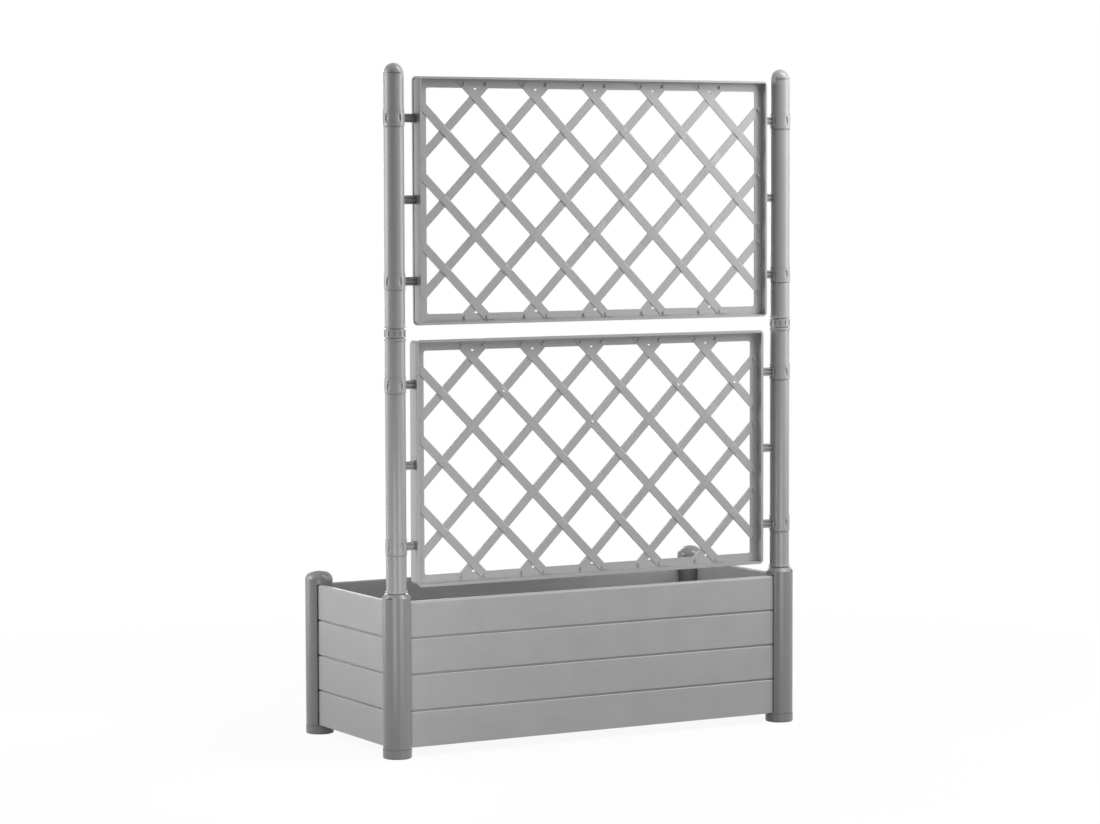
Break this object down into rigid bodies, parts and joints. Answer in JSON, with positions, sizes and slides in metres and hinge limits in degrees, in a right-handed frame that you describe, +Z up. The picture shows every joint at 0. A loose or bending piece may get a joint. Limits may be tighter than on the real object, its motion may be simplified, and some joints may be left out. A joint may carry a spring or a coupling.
{
  "type": "raised planter with trellis",
  "caption": "Rectangular plastic planter box on corner posts, with a tall lattice trellis in two tiers plugged onto its front posts for climbing plants.",
  "frame": {"origin": "centre of the planter's footprint on the ground", "axes": "+Z up, +X along the planter's length, -Y towards the side that carries the trellis"},
  "size_m": [0.996, 0.428, 1.42],
  "materials": {
    "dark_grey_plastic": "satin moulded polypropylene",
    "board_grey_plastic": "moulded polypropylene with a faint wood grain",
    "light_grey_plastic": "satin moulded polypropylene"
  },
  "bodies": {
    "planter": {"front_left_post": "dark_grey_plastic", "front_right_post": "dark_grey_plastic", "back_right_post": "dark_grey_plastic", "back_left_post": "dark_grey_plastic", "front_left_foot": "dark_grey_plastic", "front_right_foot": "dark_grey_plastic", "back_right_foot": "dark_grey_plastic", "back_left_foot": "dark_grey_plastic", "back_left_post_cap": "dark_grey_plastic", "back_right_post_cap": "dark_grey_plastic", "front_left_tube_seat": "dark_grey_plastic", "front_right_tube_seat": "dark_grey_plastic", "front_wall": "board_grey_plastic", "right_wall": "board_grey_plastic", "back_wall": "board_grey_plastic", "left_wall": "board_grey_plastic", "floor_tray": "board_grey_plastic"},
    "lower_trellis": {"lower_trellis_panel": "light_grey_plastic", "left_lower_tube": "light_grey_plastic", "left_lower_bottom_peg": "light_grey_plastic", "left_lower_bottom_collar": "light_grey_plastic", "left_lower_middle_peg": "light_grey_plastic", "left_lower_top_peg": "light_grey_plastic", "left_lower_top_collar": "light_grey_plastic", "right_lower_tube": "light_grey_plastic", "right_lower_bottom_peg": "light_grey_plastic", "right_lower_bottom_collar": "light_grey_plastic", "right_lower_middle_peg": "light_grey_plastic", "right_lower_top_peg": "light_grey_plastic", "right_lower_top_collar": "light_grey_plastic", "left_coupling": "light_grey_plastic", "right_coupling": "light_grey_plastic"},
    "upper_trellis": {"upper_trellis_panel": "light_grey_plastic", "left_upper_tube": "light_grey_plastic", "left_upper_bottom_peg": "light_grey_plastic", "left_upper_bottom_collar": "light_grey_plastic", "left_upper_middle_peg": "light_grey_plastic", "left_upper_top_peg": "light_grey_plastic", "left_upper_top_collar": "light_grey_plastic", "right_upper_tube": "light_grey_plastic", "right_upper_bottom_peg": "light_grey_plastic", "right_upper_bottom_collar": "light_grey_plastic", "right_upper_middle_peg": "light_grey_plastic", "right_upper_top_peg": "light_grey_plastic", "right_upper_top_collar": "light_grey_plastic", "left_tube_cap": "light_grey_plastic", "right_tube_cap": "light_grey_plastic"}
  },
  "joints": [
    {"name": "lower_trellis_lift", "type": "slide", "parent": "planter", "child": "lower_trellis", "axis": [0, 0, 1], "range_m": [0, 0.08]},
    {"name": "upper_trellis_lift", "type": "slide", "parent": "lower_trellis", "child": "upper_trellis", "axis": [0, 0, 1], "range_m": [0, 0.06]}
  ]
}
